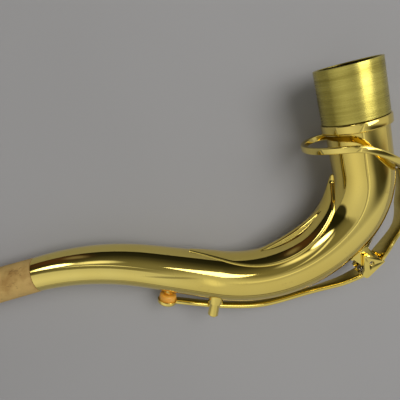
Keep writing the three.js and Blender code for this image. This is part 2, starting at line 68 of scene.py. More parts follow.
def neck_plane():
    mounts = {mount["name"]: mount for mount in frame["record"]["mounts"]}
    axis_y = Vector(mounts["tenon_end"]["axis"]).normalized()
    axis_z = Vector(frame["joints"][0]["axis"]).normalized()
    axis_x = axis_y.cross(axis_z).normalized()
    rim = 13.4 * MM
    origin = Vector(mounts["tenon_end"]["pos_m"]) - rim * axis_x
    turn = Matrix((axis_x, axis_y, axis_z)).transposed().to_4x4()
    return Matrix.Translation(origin) @ turn


PLANE = neck_plane()


# Sizes that a user may change.

class TubeSizes(bpy.types.PropertyGroup):
    straight: bpy.props.FloatProperty(
        name="Straight run", description="Straight length below the tenon",
        default=21.5 * MM, unit="LENGTH")
    tight_radius: bpy.props.FloatProperty(
        name="Tight bend", description="Centre line radius of the first bend",
        default=31.5 * MM, unit="LENGTH")
    tight_angle: bpy.props.FloatProperty(
        name="Tight bend angle", description="Angle of the first bend",
        default=math.radians(48.5), subtype="ANGLE")
    wide_radius: bpy.props.FloatProperty(
        name="Wide bend", description="Centre line radius of the second bend",
        default=58.5 * MM, unit="LENGTH")
    wide_angle: bpy.props.FloatProperty(
        name="Wide bend angle", description="Angle of the second bend",
        default=math.radians(65.2), subtype="ANGLE")
    slope: bpy.props.FloatProperty(
        name="Slope", description="Straight length between the bends",
        default=32 * MM, unit="LENGTH")
    return_radius: bpy.props.FloatProperty(
        name="Return bend", description="Centre line radius of the return bend",
        default=116 * MM, unit="LENGTH")
    return_angle: bpy.props.FloatProperty(
        name="Return bend angle", description="Angle of the return bend",
        default=math.radians(25.1), subtype="ANGLE")
    lower_diameter: bpy.props.FloatProperty(
        name="Diameter at ferrule", description="Outside diameter below the ferrule",
        default=26.1 * MM, unit="LENGTH")
    middle_diameter: bpy.props.FloatProperty(
        name="Diameter midway", description="Outside diameter half-way along",
        default=22.5 * MM, unit="LENGTH")
    upper_diameter: bpy.props.FloatProperty(
        name="Diameter at shoulder", description="Outside diameter where the cork begins",
        default=15.6 * MM, unit="LENGTH")
    wall: bpy.props.FloatProperty(
        name="Wall", description="Thickness of the tube's wall",
        default=0.75 * MM, unit="LENGTH")
    spigot_diameter: bpy.props.FloatProperty(
        name="Spigot diameter", description="Outside diameter under the cork",
        default=14.1 * MM, unit="LENGTH")
    cork_length: bpy.props.FloatProperty(
        name="Cork length", description="Length of the cork sleeve",
        default=45 * MM, unit="LENGTH")
    bare_tip: bpy.props.FloatProperty(
        name="Bare tip", description="Length of tube past the cork",
        default=1.5 * MM, unit="LENGTH")
    tenon_diameter: bpy.props.FloatProperty(
        name="Tenon diameter", description="Outside diameter of the tenon sleeve",
        default=27.6 * MM, unit="LENGTH")
    tenon_length: bpy.props.FloatProperty(
        name="Tenon length", description="Length of the tenon sleeve",
        default=22.5 * MM, unit="LENGTH")
    ferrule_diameter: bpy.props.FloatProperty(
        name="Ferrule diameter", description="Outside diameter of the ferrule",
        default=28.8 * MM, unit="LENGTH")
    ferrule_length: bpy.props.FloatProperty(
        name="Ferrule length", description="Length of the ferrule",
        default=4 * MM, unit="LENGTH")


class BraceSizes(bpy.types.PropertyGroup):
    start: bpy.props.FloatProperty(
        name="Start", description="Station where the brace begins",
        default=23 * MM, unit="LENGTH")
    end: bpy.props.FloatProperty(
        name="End", description="Station where the brace ends",
        default=130 * MM, unit="LENGTH")
    leaf_start: bpy.props.FloatProperty(
        name="Leaf start", description="Station where the leaf begins to widen",
        default=27 * MM, unit="LENGTH")
    leaf_end: bpy.props.FloatProperty(
        name="Leaf end", description="Station where the leaf's sides would meet",
        default=134 * MM, unit="LENGTH")
    leaf_angle: bpy.props.FloatProperty(
        name="Leaf angle", description="Widest half-angle of the leaf round the tube",
        default=math.radians(50), subtype="ANGLE")
    tip_angle: bpy.props.FloatProperty(
        name="Tip angle", description="Half-angle of the leaf at its tips",
        default=math.radians(3), subtype="ANGLE")
    tip_lean: bpy.props.FloatProperty(
        name="Tip lean", description="How far the leaf's lower tip leans to the far side",
        default=math.radians(16), subtype="ANGLE")
    lean_end: bpy.props.FloatProperty(
        name="Lean end", description="Station where the leaf has come back to the middle",
        default=46 * MM, unit="LENGTH")
    thickness: bpy.props.FloatProperty(
        name="Thickness", description="Height of the sheet over the tube",
        default=0.5 * MM, unit="LENGTH")
    keel_end: bpy.props.FloatProperty(
        name="Keel end", description="Station where the keel at the lower end fades out",
        default=70 * MM, unit="LENGTH")
    keel_height: bpy.props.FloatProperty(
        name="Keel height", description="Height of the keel over the sheet",
        default=2.1 * MM, unit="LENGTH")
    ridge_lean: bpy.props.FloatProperty(
        name="Ridge lean", description="Place of the keel's ridge, as a share of the leaf's half",
        default=0.6, min=0.0, max=0.9)
    rib_start: bpy.props.FloatProperty(
        name="Rib start", description="Station where the rib would leave the tube",
        default=40.5 * MM, unit="LENGTH")
    rib_end: bpy.props.FloatProperty(
        name="Rib end", description="Station where the rib ends",
        default=95.5 * MM, unit="LENGTH")
    rib_height: bpy.props.FloatProperty(
        name="Rib height", description="Height of the rib over the tube",
        default=2.95 * MM, unit="LENGTH")
    rib_crown: bpy.props.FloatProperty(
        name="Rib crown", description="Half of the rib's thickness at its round crown",
        default=1.15 * MM, unit="LENGTH")
    rib_base: bpy.props.FloatProperty(
        name="Rib base", description="Half of the rib's thickness above its fillets",
        default=1.3 * MM, unit="LENGTH")
    rib_fillet: bpy.props.FloatProperty(
        name="Rib fillet", description="Radius of the solder along the rib's foot",
        default=0.8 * MM, unit="LENGTH")
    edge: bpy.props.FloatProperty(
        name="Edge", description="Width of the brace's rounded edge",
        default=1.0 * MM, unit="LENGTH")


class KeySizes(bpy.types.PropertyGroup):
    hinge_station: bpy.props.FloatProperty(
        name="Hinge station", description="Place of the hinge along the tube",
        default=54.5 * MM, unit="LENGTH")
    ring_radius: bpy.props.FloatProperty(
        name="Ring radius", description="Radius of the middle of the ring's band",
        default=19.8 * MM, unit="LENGTH")
    ring_offset: bpy.props.FloatProperty(
        name="Ring offset", description="Sideways place of the ring's centre",
        default=-3.3 * MM, unit="LENGTH")
    ring_drop: bpy.props.FloatProperty(
        name="Ring drop", description="Distance of the ring below the tenon",
        default=7.5 * MM, unit="LENGTH")
    ring_width: bpy.props.FloatProperty(
        name="Ring width", description="Width of the ring's band",
        default=2.8 * MM, unit="LENGTH")
    ring_thickness: bpy.props.FloatProperty(
        name="Ring thickness", description="Thickness of the ring's band",
        default=2 * MM, unit="LENGTH")
    ring_fold: bpy.props.FloatProperty(
        name="Ring fold", description="Sideways place of the line along which the ring is bent",
        default=-4.3 * MM, unit="LENGTH")
    ring_fall: bpy.props.FloatProperty(
        name="Ring fall", description="Slope of the ring past its fold",
        default=0.85)
    ring_softness: bpy.props.FloatProperty(
        name="Ring softness", description="Length over which the ring bends",
        default=3.6 * MM, unit="LENGTH")
    post_station: bpy.props.FloatProperty(
        name="Post station", description="Place of the guide post along the tube",
        default=114.7 * MM, unit="LENGTH")
    pad_station: bpy.props.FloatProperty(
        name="Pad station", description="Place of the pad along the tube",
        default=136.3 * MM, unit="LENGTH")
    pad_diameter: bpy.props.FloatProperty(
        name="Pad diameter", description="Diameter of the octave pad",
        default=7.9 * MM, unit="LENGTH")
    pad_height: bpy.props.FloatProperty(
        name="Pad height", description="Height of the pad's face over the tube",
        default=2.2 * MM, unit="LENGTH")


class FinishColours(bpy.types.PropertyGroup):
    brass: bpy.props.FloatVectorProperty(
        name="Lacquered brass", description="Colour of the lacquered brass",
        default=(0.87, 0.715, 0.20), subtype="COLOR", size=3)
    raw: bpy.props.FloatVectorProperty(
        name="Raw brass", description="Colour of the unlacquered tenon",
        default=(0.58, 0.50, 0.12), subtype="COLOR", size=3)
    cork: bpy.props.FloatVectorProperty(
        name="Cork", description="Colour of the cork",
        default=(0.60, 0.40, 0.13), subtype="COLOR", size=3)
    pad: bpy.props.FloatVectorProperty(
        name="Pad", description="Colour of the pad's skin",
        default=(0.80, 0.34, 0.035), subtype="COLOR", size=3)
    steel: bpy.props.FloatVectorProperty(
        name="Steel", description="Colour of the spring and screws",
        default=(0.62, 0.60, 0.56), subtype="COLOR", size=3)
    floor: bpy.props.FloatVectorProperty(
        name="Floor", description="Colour of the studio floor",
        default=(0.38, 0.38, 0.39), subtype="COLOR", size=3)


def tube_sizes():
    return bpy.context.scene.neck_tube_sizes


def brace_sizes():
    return bpy.context.scene.neck_brace_sizes


def key_sizes():
    return bpy.context.scene.neck_key_sizes


def colours():
    return bpy.context.scene.neck_colours


# Centre line and taper.

def runs():
    size = tube_sizes()
    return (
        (size.straight, 0.0),
        (size.tight_radius * size.tight_angle, size.tight_angle),
        (size.wide_radius * size.wide_angle, size.wide_angle),
        (size.slope, 0.0),
        (size.return_radius * size.return_angle, -size.return_angle),
    )


def shoulder_station():
    return sum(length for length, _ in runs())


def along(heading):
    return Vector((-math.sin(heading), -math.cos(heading), 0.0))


def outward(heading):
    return Vector((math.cos(heading), -math.sin(heading), 0.0))


def centre_at(station):
    """Place and heading of the centre line. Past either end it runs on straight."""
    point = Vector((0.0, -tube_sizes().tenon_length, 0.0))
    heading = 0.0
    left = station
    for length, turn in runs():
        if left <= 0:
            break
        part = min(1.0, left / length)
        angle = turn * part
        chord = length * part
        if angle:
            chord *= 2 * math.sin(angle / 2) / angle
        point += chord * along(heading + angle / 2)
        heading += angle
        left -= length
    if left > 0 or station < 0:
        point += left * along(heading)
    return point, heading


def tube_radius(station):
    size = tube_sizes()
    share = station / shoulder_station()
    ends = size.lower_diameter + (size.upper_diameter - size.lower_diameter) * share
    middle = (size.lower_diameter + size.upper_diameter) / 2
    return (ends + 4 * (size.middle_diameter - middle) * share * (1 - share)) / 2


def spot_frame(station):
    """Frame on the outer side of the tube, with X along it, Y outward and Z up."""
    point, heading = centre_at(station)
    turn = Matrix((along(heading), outward(heading), (0, 0, 1))).transposed().to_4x4()
    return Matrix.Translation(point + tube_radius(station) * outward(heading)) @ turn


def swell(station, first, last):
    """Rises from nothing at the first station and falls back to nothing at the last."""
    share = min(1.0, max(0.0, (station - first) / (last - first)))
    return max(0.0, math.sin(math.pi * share))


def leaf_half_angle(station):
    size = brace_sizes()
    return max(size.tip_angle, size.leaf_angle * swell(station, size.leaf_start, size.leaf_end))


def leaf_centre(station):
    """Angle of the leaf's middle line, which leans to the far side at its lower tip."""
    size = brace_sizes()
    return -size.tip_lean * between(station, ((size.start, 1.0), (size.leaf_start, 1.0),
                                              (size.lean_end, 0.0), (size.end, 0.0)))


def keel_lift(station, angle):
    """Height of the keel over the sheet: a soft ridge along the leaf that fades out slowly."""
    size = brace_sizes()
    share = min(1.0, max(0.0, (station - size.start) / (size.keel_end - size.start)))
    ridge = size.keel_height * max(0.0, math.sin(math.pi * share ** 0.7)) ** 1.15
    lean, blunt = size.ridge_lean, 0.3
    aside = angle / leaf_half_angle(station) + lean
    aside = min(1.0, abs(aside) / (1 + lean if aside > 0 else 1 - lean))
    foot = math.hypot(1.0, blunt)
    return ridge * (foot - math.hypot(aside, blunt)) / (foot - blunt)


def rib_rise(station):
    """Height of the rib over the keel and the sheet."""
    size = brace_sizes()
    top = size.rib_height * swell(station, size.rib_start, size.rib_end) ** 0.6
    return max(0.0, top - size.thickness - keel_lift(station, 0.0))


def rib_profile(share, height):
    """Way out and height of the rib's round crown, flat side and hollow foot."""
    size = brace_sizes()
    shaped = min(1.0, height / size.rib_fillet)
    crown, fillet = min(size.rib_crown, height / 2), min(size.rib_fillet, height / 3)
    if share < 1 / 3:
        turn = math.pi / 2 * share * 3
        way = size.rib_crown * math.sin(turn)
        lift = height - crown * (1 - math.cos(turn))
    elif share < 2 / 3:
        way = between(share, ((1 / 3, size.rib_crown), (2 / 3, size.rib_base)))
        lift = between(share, ((1 / 3, height - crown), (2 / 3, fillet)))
    else:
        turn = math.pi / 2 * (share * 3 - 2)
        way = size.rib_base + fillet * (1 - math.cos(turn))
        lift = fillet * (1 - math.sin(turn))
    return (size.rib_base + size.rib_fillet) * share * (1 - shaped) + way * shaped, lift


def between(value, stops):
    """Straight-line interpolation through (position, result) pairs."""
    for (low, first), (high, last) in zip(stops, stops[1:]):
        if value <= high:
            return first + (last - first) * (value - low) / (high - low)
    return stops[-1][1]


def brace_point(way, across):
    """A point of the brace's outer face, for even shares of its length and width, -1 to 1.

    Across the brace the shares run over the rib, then the leaf, and then the rounded edge.
    """
    size = brace_sizes()
    ribbed, flat, long = 0.45, 0.85, 0.94
    middle, reach = (size.start + size.end) / 2, (size.end - size.start) / 2
    fall_along = math.pi / 2 * between(abs(way), ((0.0, 0.0), (long, 0.0), (1.0, 1.0)))
    inner = min(1.0, abs(way) / long) * (reach - size.edge)
    station = middle + math.copysign(inner + size.edge * math.sin(fall_along), way)

    half = leaf_half_angle(station)
    edge = min(size.edge / tube_radius(station), half * 0.5)
    skin = tube_radius(station) + size.thickness
    reach_out = size.rib_base + size.rib_fillet
    foot = min(reach_out / skin, (half - edge) * 0.8)
    rise = 0.0
    if abs(across) < ribbed:
        way_out, rise = rib_profile(abs(across) / ribbed, rib_rise(station))
        angle = way_out / reach_out * foot
    else:
        angle = between(abs(across), ((ribbed, foot), (flat, half - edge), (1.0, half - edge)))
    fall_across = math.pi / 2 * between(abs(across), ((0.0, 0.0), (flat, 0.0), (1.0, 1.0)))
    angle = math.copysign(angle + edge * math.sin(fall_across), across)

    sunk = 0.2 * MM
    sheet = (size.thickness + sunk) * math.cos(fall_across) * math.cos(fall_along)
    lift = keel_lift(station, angle) + rise
    angle += leaf_centre(station)
    point, heading = centre_at(station)
    radius = tube_radius(station) - sunk + sheet + lift * math.cos(fall_along)
    return (point - radius * math.cos(angle) * outward(heading)
            + Vector((0.0, 0.0, radius * math.sin(angle))))


# Modelling tools.

def deselect():
    if bpy.context.mode != "OBJECT":
        bpy.ops.object.mode_set(mode="OBJECT")
    bpy.ops.object.select_all(action="DESELECT")


def activate(piece):
    deselect()
    piece.select_set(True)
    bpy.context.view_layer.objects.active = piece


def name_piece(name):
    piece = bpy.context.object
    piece.name = name
    piece.data.name = name
    return piece


def edit():
    bpy.ops.object.mode_set(mode="EDIT")


def leave_edit():
    bpy.ops.object.mode_set(mode="OBJECT")


def select_all():
    bpy.ops.mesh.select_all(action="SELECT")


def apply_modifiers(piece):
    activate(piece)
    for modifier in list(piece.modifiers):
        bpy.ops.object.modifier_apply(modifier=modifier.name)


def add_bevel(piece, width, segments=2, angle=35.0):
    bevel = piece.modifiers.new("edge rounding", "BEVEL")
    bevel.width = width
    bevel.segments = segments
    bevel.limit_method = "ANGLE"
    bevel.angle_limit = math.radians(angle)
    bevel.harden_normals = False
    return bevel


def add_wall(piece, thickness, offset, even=True):
    wall = piece.modifiers.new("wall", "SOLIDIFY")
    wall.thickness = thickness
    wall.offset = offset
    wall.use_even_offset = even
    return wall


def close_skin():
    """Merges doubles and points every face outwards, in edit mode."""
    select_all()
    bpy.ops.mesh.remove_doubles(threshold=0.002 * MM)
    bpy.ops.mesh.normals_make_consistent(inside=False)


def smooth(piece, angle=32.0):
    activate(piece)
    bpy.ops.object.shade_smooth_by_angle(angle=math.radians(angle))


def place(piece, local=None):
    """Puts a finished piece, modelled in a local frame of the neck's plane, where it belongs."""
    activate(piece)
    piece.matrix_world = PLANE @ (local or Matrix.Identity(4)) @ piece.matrix_world
    bpy.ops.object.transform_apply(location=True, rotation=True, scale=True)


def finish_piece(piece, node, material):
    """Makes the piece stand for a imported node, on that node's body."""
    piece.data.materials.clear()
    piece.data.materials.append(material)
    body = next(name for name, nodes in frame["record"]["behaviour"]["bodies"].items()
                if node in nodes)
    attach(piece, body)
    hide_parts(node)


def spun(name, profile, steps=96):
    """Turns an open profile of (radius, height) pairs about Y, from axis to axis or closed."""
    deselect()
    radius, height = profile[0]
    bpy.ops.mesh.primitive_plane_add(size=MM, location=CENTRE)
    piece = name_piece(name)
    edit()
    bpy.ops.mesh.merge(type="CENTER")
    bpy.ops.transform.translate(value=(radius, height, 0.0))
    for next_radius, next_height in profile[1:]:
        step = (next_radius - radius, next_height - height, 0.0)
        bpy.ops.mesh.extrude_region_move(TRANSFORM_OT_translate={"value": step})
        radius, height = next_radius, next_height
    select_all()
    bpy.ops.mesh.spin(steps=steps, angle=2 * math.pi, center=CENTRE, axis=(0, 1, 0))
    close_skin()
    leave_edit()
    return piece


def swept(name, rings, sides):
    """Extrudes a circle through rings of (centre, heading, radius) in the neck's plane."""
    deselect()
    centre, heading, radius = rings[0]
    bpy.ops.mesh.primitive_circle_add(
        vertices=sides, radius=radius, location=CENTRE, rotation=(math.pi / 2, 0, 0))
    bpy.ops.object.transform_apply(location=True, rotation=True, scale=True)
    piece = name_piece(name)
    edit()
    bpy.ops.transform.translate(value=centre)
    for next_centre, next_heading, next_radius in rings[1:]:
        bpy.ops.mesh.extrude_region_move(
            TRANSFORM_OT_translate={"value": next_centre - centre})
        if next_heading != heading:
            bpy.ops.transform.rotate(
                value=next_heading - heading, orient_axis="Z",
                center_override=next_centre)
        if next_radius != radius:
            ratio = next_radius / radius
            bpy.ops.transform.resize(value=(ratio, ratio, ratio), center_override=next_centre)
        centre, heading, radius = next_centre, next_heading, next_radius
    close_skin()
    leave_edit()
    return piece


def merged_copy(node, name):
    """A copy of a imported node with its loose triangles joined."""
    deselect()
    source = frame["nodes"][node]
    piece = source.copy()
    piece.data = source.data.copy()
    piece.parent = None
    piece.name = name
    piece.data.name = name
    bpy.context.scene.collection.objects.link(piece)
    activate(piece)
    edit()
    select_all()
    bpy.ops.mesh.remove_doubles(threshold=0.002 * MM)
    bpy.ops.mesh.dissolve_limited(angle_limit=math.radians(0.5))
    leave_edit()
    return piece


def pull_end(piece, end, way, reach):
    """Moves the end face of a piece along a way, into the neighbour that it is brazed to."""
    end, way = PLANE @ end, (PLANE.to_3x3() @ way).normalized()
    for vertex in piece.data.vertices:
        offset = vertex.co - end
        if offset.length < 8 * MM and offset.dot(way) > -0.9 * MM:
            vertex.co += way * reach


def sink_foot(piece, station):
    """Moves the foot of a piece that stands on the tube down into the solder."""
    point, heading = centre_at(station)
    inverse = PLANE.inverted()
    run = along(heading)
    for vertex in piece.data.vertices:
        offset = inverse @ vertex.co - point
        spoke = offset - run * offset.dot(run)
        over = spoke.length - tube_radius(station + offset.dot(run))
        if over < 0.5 * MM:
            vertex.co -= PLANE.to_3x3() @ spoke.normalized() * (over + 0.2 * MM)


# Finishes.

def new_group(name, inputs, outputs):
    group = bpy.data.node_groups.new(name, "ShaderNodeTree")
    for label, kind, default in inputs:
        socket = group.interface.new_socket(name=label, in_out="INPUT", socket_type=kind)
        if default is not None:
            socket.default_value = default
    for label, kind in outputs:
        group.interface.new_socket(name=label, in_out="OUTPUT", socket_type=kind)
    start = group.nodes.new("NodeGroupInput")
    end = group.nodes.new("NodeGroupOutput")
    return group, start, end


def noise(tree, vector, scale, detail=3.0, roughness=0.55):
    node = tree.nodes.new("ShaderNodeTexNoise")
    node.inputs["Scale"].default_value = scale
    node.inputs["Detail"].default_value = detail
    node.inputs["Roughness"].default_value = roughness
    tree.links.new(vector, node.inputs["Vector"])
    return node.outputs["Fac"]


def ramp(tree, value, stops):
    node = tree.nodes.new("ShaderNodeValToRGB")
    elements = node.color_ramp.elements
    while len(elements) < len(stops):
        elements.new(0.5)
    for element, (position, colour) in zip(elements, stops):
        element.position = position
        element.color = (*colour, 1.0) if len(colour) == 3 else colour
    tree.links.new(value, node.inputs["Fac"])
    return node.outputs["Color"]


def spread(tree, value, low, high, to_low=0.0, to_high=1.0):
    node = tree.nodes.new("ShaderNodeMapRange")
    node.inputs["From Min"].default_value = low
    node.inputs["From Max"].default_value = high
    node.inputs["To Min"].default_value = to_low
    node.inputs["To Max"].default_value = to_high
    tree.links.new(value, node.inputs["Value"])
    return node.outputs["Result"]


def math_node(tree, operation, first, second):
    node = tree.nodes.new("ShaderNodeMath")
    node.operation = operation
    for socket, value in zip(node.inputs, (first, second)):
        if isinstance(value, (int, float)):
            socket.default_value = value
        else:
            tree.links.new(value, socket)
    return node.outputs["Value"]


def mix_colour(tree, factor, first, second, blend="MIX"):
    node = tree.nodes.new("ShaderNodeMix")
    node.data_type = "RGBA"
    node.blend_type = blend
    sockets = [s for s in node.inputs if s.type == "RGBA"]
    fac = next(s for s in node.inputs if s.name == "Factor" and s.type == "VALUE")
    for socket, value in ((fac, factor), (sockets[0], first), (sockets[1], second)):
        if isinstance(value, bpy.types.NodeSocket):
            tree.links.new(value, socket)
        elif isinstance(value, (int, float)):
            socket.default_value = value
        else:
            socket.default_value = (*value, 1.0)
    return next(s for s in node.outputs if s.type == "RGBA")


def handling_group():
    """Smudges, faint tarnish and hairline scratches of handled metal."""
    if "handling marks" in bpy.data.node_groups:
        return bpy.data.node_groups["handling marks"]
    group, start, end = new_group(
        "handling marks",
        (("Vector", "NodeSocketVector", None), ("Smudge Scale", "NodeSocketFloat", 60.0),
         ("Hairline Scale", "NodeSocketFloat", 900.0)),
        (("Smudges", "NodeSocketFloat"), ("Tarnish", "NodeSocketFloat"),
         ("Hairlines", "NodeSocketFloat")))
    vector = start.outputs["Vector"]
    smudge = noise(group, vector, 60.0, 4.0, 0.6)
    group.links.new(start.outputs["Smudge Scale"], smudge.node.inputs["Scale"])
    group.links.new(spread(group, smudge, 0.45, 0.75), end.inputs["Smudges"])
    spots = noise(group, vector, 230.0, 5.0, 0.7)
    group.links.new(spread(group, spots, 0.62, 0.80), end.inputs["Tarnish"])
    stretch = group.nodes.new("ShaderNodeMapping")
    stretch.inputs["Scale"].default_value = (1.0, 0.06, 1.0)
    stretch.inputs["Rotation"].default_value = (0.3, 0.5, 0.9)
    group.links.new(vector, stretch.inputs["Vector"])
    hair = noise(group, stretch.outputs["Vector"], 900.0, 2.0, 0.5)
    group.links.new(start.outputs["Hairline Scale"], hair.node.inputs["Scale"])
    group.links.new(spread(group, hair, 0.60, 0.72), end.inputs["Hairlines"])
    return group


def new_material(name):
    material = bpy.data.materials.new(name)
    material.use_nodes = True
    tree = material.node_tree
    shader = tree.nodes["Principled BSDF"]
    coordinates = tree.nodes.new("ShaderNodeTexCoord")
    return material, tree, shader, coordinates.outputs["Object"]


def bump(tree, shader, height, strength, distance):
    node = tree.nodes.new("ShaderNodeBump")
    node.inputs["Strength"].default_value = strength
    node.inputs["Distance"].default_value = distance
    tree.links.new(height, node.inputs["Height"])
    tree.links.new(node.outputs["Normal"], shader.inputs["Normal"])


def handling_marks(tree, vector, smudge_scale, hairline_scale):
    node = tree.nodes.new("ShaderNodeGroup")
    node.node_tree = handling_group()
    node.inputs["Smudge Scale"].default_value = smudge_scale
    node.inputs["Hairline Scale"].default_value = hairline_scale
    tree.links.new(vector, node.inputs["Vector"])
    return node.outputs


def lacquered_brass():
    if "lacquered brass" in bpy.data.materials:
        return bpy.data.materials["lacquered brass"]
    material, tree, shader, vector = new_material("lacquered brass")
    marks = handling_marks(tree, vector, 45.0, 700.0)
    base = tuple(colours().brass)
    deep = (base[0] * 0.93, base[1] * 0.88, base[2] * 0.72)
    drift = ramp(tree, noise(tree, vector, 22.0, 2.0), ((0.35, base), (0.7, deep)))
    spotted = mix_colour(tree, math_node(tree, "MULTIPLY", marks["Tarnish"], 0.35),
                         drift, (0.34, 0.22, 0.07))
    tree.links.new(spotted, shader.inputs["Base Color"])
    shader.inputs["Metallic"].default_value = 1.0
    rough = math_node(tree, "MULTIPLY_ADD", marks["Smudges"], 0.06)
    rough.node.inputs[2].default_value = 0.035
    tree.links.new(rough, shader.inputs["Roughness"])
    shader.inputs["Coat Weight"].default_value = 0.25
    shader.inputs["Coat Roughness"].default_value = 0.03
    bump(tree, shader, marks["Hairlines"], 0.12, 0.02 * MM)
    return material


def axis_mapping(tree, vector, axis, stretch):
    """Turns a pattern so that its Z runs along an axis, and stretches it."""
    node = tree.nodes.new("ShaderNodeMapping")
    node.vector_type = "TEXTURE"
    node.inputs["Rotation"].default_value = axis.to_track_quat("Z", "Y").to_euler()
    tree.links.new(vector, node.inputs["Vector"])
    scale = tree.nodes.new("ShaderNodeMapping")
    scale.inputs["Scale"].default_value = stretch
    tree.links.new(node.outputs["Vector"], scale.inputs["Vector"])
    return scale.outputs["Vector"]


def turned_raw_brass():
    material, tree, shader, vector = new_material("turned raw brass")
    axis = (PLANE.to_3x3() @ Vector((0, 1, 0))).normalized()
    lines = axis_mapping(tree, vector, axis, (0.04, 0.04, 1.0))
    marks = handling_marks(tree, vector, 70.0, 500.0)
    turning = noise(tree, lines, 3200.0, 4.0, 0.7)
    wide = noise(tree, lines, 500.0, 3.0, 0.6)
    base = tuple(colours().raw)
    dull = (base[0] * 0.62, base[1] * 0.60, base[2] * 0.50)
    tint = ramp(tree, wide, ((0.3, dull), (0.62, base)))
    worn = mix_colour(tree, math_node(tree, "MULTIPLY", marks["Smudges"], 0.5), tint, dull)
    tree.links.new(worn, shader.inputs["Base Color"])
    shader.inputs["Metallic"].default_value = 1.0
    tree.links.new(spread(tree, turning, 0.3, 0.7, 0.20, 0.36), shader.inputs["Roughness"])
    bump(tree, shader, turning, 0.5, 0.03 * MM)
    return material


def sanded_cork():
    material, tree, shader, vector = new_material("sanded cork")
    axis = (PLANE.to_3x3() @ along(centre_at(shoulder_station())[1])).normalized()
    grain = axis_mapping(tree, vector, axis, (1.0, 1.0, 0.55))
    cells = tree.nodes.new("ShaderNodeTexVoronoi")
    cells.feature = "F1"
    cells.inputs["Scale"].default_value = 520.0
    tree.links.new(grain, cells.inputs["Vector"])
    pores = noise(tree, grain, 330.0, 4.0, 0.65)
    pits = spread(tree, pores, 0.62, 0.70)
    base = tuple(colours().cork)
    light = tuple(min(1.0, c * 1.18) for c in base)
    dark = (base[0] * 0.66, base[1] * 0.56, base[2] * 0.45)
    blotch = ramp(tree, noise(tree, vector, 110.0, 4.0), ((0.3, dark), (0.5, base), (0.72, light)))
    speck = mix_colour(tree, math_node(tree, "MULTIPLY", pits, 0.8), blotch, (0.16, 0.08, 0.025))
    tree.links.new(speck, shader.inputs["Base Color"])
    tree.links.new(spread(tree, pores, 0.3, 0.7, 0.72, 0.92), shader.inputs["Roughness"])
    height = math_node(tree, "SUBTRACT", cells.outputs["Distance"], pits)
    bump(tree, shader, height, 0.5, 0.12 * MM)
    return material


def pad_skin():
    material, tree, shader, vector = new_material("pad skin")
    fibres = noise(tree, vector, 900.0, 4.0, 0.6)
    base = tuple(colours().pad)
    light = (min(1.0, base[0] * 1.12), min(1.0, base[1] * 1.45), base[2] * 2.4)
    tint = ramp(tree, noise(tree, vector, 260.0, 3.0), ((0.35, base), (0.7, light)))
    tree.links.new(tint, shader.inputs["Base Color"])
    tree.links.new(spread(tree, fibres, 0.3, 0.7, 0.32, 0.5), shader.inputs["Roughness"])
    shader.inputs["Subsurface Weight"].default_value = 0.25
    shader.inputs["Subsurface Radius"].default_value = (0.003, 0.0015, 0.0005)
    shader.inputs["Subsurface Scale"].default_value = 0.5
    bump(tree, shader, fibres, 0.3, 0.05 * MM)
    return material


def bright_steel():
    if "bright steel" in bpy.data.materials:
        return bpy.data.materials["bright steel"]
    material, tree, shader, vector = new_material("bright steel")
    marks = handling_marks(tree, vector, 120.0, 900.0)
    base = tuple(colours().steel)
    dull = tuple(c * 0.7 for c in base)
    tree.links.new(mix_colour(tree, marks["Tarnish"], base, dull), shader.inputs["Base Color"])
    shader.inputs["Metallic"].default_value = 1.0
    rough = math_node(tree, "MULTIPLY_ADD", marks["Smudges"], 0.15)
    rough.node.inputs[2].default_value = 0.2
    tree.links.new(rough, shader.inputs["Roughness"])
    bump(tree, shader, marks["Hairlines"], 0.15, 0.02 * MM)
    return material


# Pieces.

def steps_between(first, last):
    """Stations from first to last: close together in the bends, wide apart between them."""
    stations = [first]
    start = 0.0
    for length, turn in runs():
        count = max(4, round(abs(turn) / math.radians(2.5)))
        for i in range(1, count + 1):
            station = start + length * i / count
            if first < station < last:
                stations.append(station)
        start += length
    stations.append(last)
    return stations


class NECK_OT_tube(bpy.types.Operator):
    """Extrudes the tapered tube through its bends and gives it its wall."""
    bl_idname = "neck.tube"
    bl_label = "Tube"

    def execute(self, context):
        size = tube_sizes()
        seat = size.tenon_diameter / 2 - 1.1 * MM
        shoulder = shoulder_station()
        rings = []
        for station in (GAP - size.tenon_length, -GAP):
            rings.append((*centre_at(station), seat))
        for station in steps_between(0.0, shoulder):
            rings.append((*centre_at(station), tube_radius(station)))
        tip = shoulder + size.cork_length + size.bare_tip
        edge = 0.25 * MM
        spigot = size.spigot_diameter / 2
        for station, radius in ((shoulder, spigot), (tip - edge, spigot), (tip, spigot - edge)):
            rings.append((*centre_at(station), radius))
        tube = swept("tapered_tube", rings, 96)
        add_wall(tube, size.wall, -1.0)
        apply_modifiers(tube)
        smooth(tube)
        place(tube)
        finish_piece(tube, "neck_tube", lacquered_brass())
        return {"FINISHED"}


